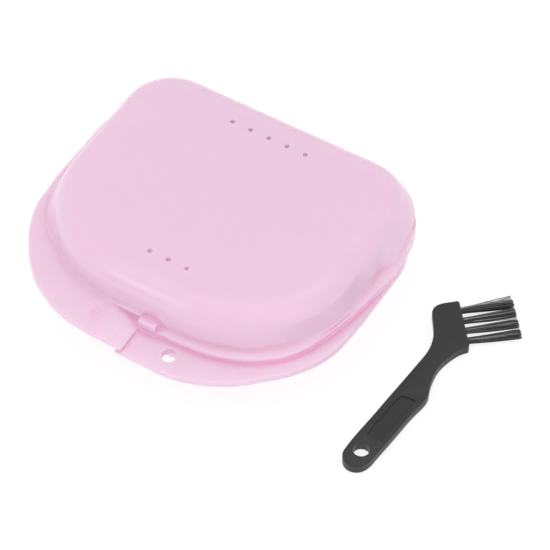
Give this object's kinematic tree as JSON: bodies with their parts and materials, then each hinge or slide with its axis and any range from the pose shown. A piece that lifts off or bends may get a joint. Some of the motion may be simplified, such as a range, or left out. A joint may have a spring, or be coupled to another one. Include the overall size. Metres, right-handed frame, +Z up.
{
  "type": "mouthguard with case",
  "caption": "Hinged plastic clamshell case with vent holes and a front snap latch, holding a moulded mouthguard, with a small cleaning brush beside it.",
  "frame": {"origin": "centre of the case's flat bottom face, on the surface it stands on", "axes": "+Z up, +Y towards the hinge, -Y towards the latch and finger lips, +X to the right seen from the latch side; the brush lies flat at +X"},
  "size_m": [0.1136, 0.0779, 0.0245],
  "materials": {
    "case_plastic": "smooth gloss, slightly translucent pale pink",
    "hook_plastic": "smooth gloss pale pink",
    "pin_steel": "drawn steel wire",
    "guard_shell": "satin translucent EVA",
    "guard_gel": "soft satin inner liner",
    "brush_plastic": "fine satin moulding",
    "bristle": "nylon filament",
    "anchor_brass": "flat wire"
  },
  "bodies": {
    "base": {"case_base": "case_plastic", "hinge_pin": "pin_steel"},
    "lid": {"case_lid": "case_plastic"},
    "latch": {"latch_hook": "hook_plastic"},
    "guard": {"mouthguard_shell": "guard_shell", "mouthguard_liner": "guard_gel"},
    "brush": {"brush_handle": "brush_plastic", "bristle_tuft_1": "bristle", "bristle_tuft_2": "bristle", "bristle_tuft_3": "bristle", "bristle_tuft_4": "bristle", "tuft_anchors": "anchor_brass"}
  },
  "joints": [
    {"name": "lid_hinge", "type": "hinge", "parent": "base", "child": "lid", "pos_m": [0, 0.0347, 0.0123], "axis": [-1, 0, 0], "range_deg": [0, 180]},
    {"name": "latch_flex", "type": "hinge", "parent": "base", "child": "latch", "pos_m": [0.00185, -0.03345, 0.0086], "axis": [1, 0, 0], "range_deg": [0, 8]},
    {"name": "guard_lift", "type": "slide", "parent": "base", "child": "guard", "axis": [0, 0, 1], "range_m": [0, 0.003]},
    {"name": "brush_lift", "type": "slide", "parent": "base", "child": "brush", "axis": [0, 0, 1], "range_m": [0, 0.06]}
  ]
}
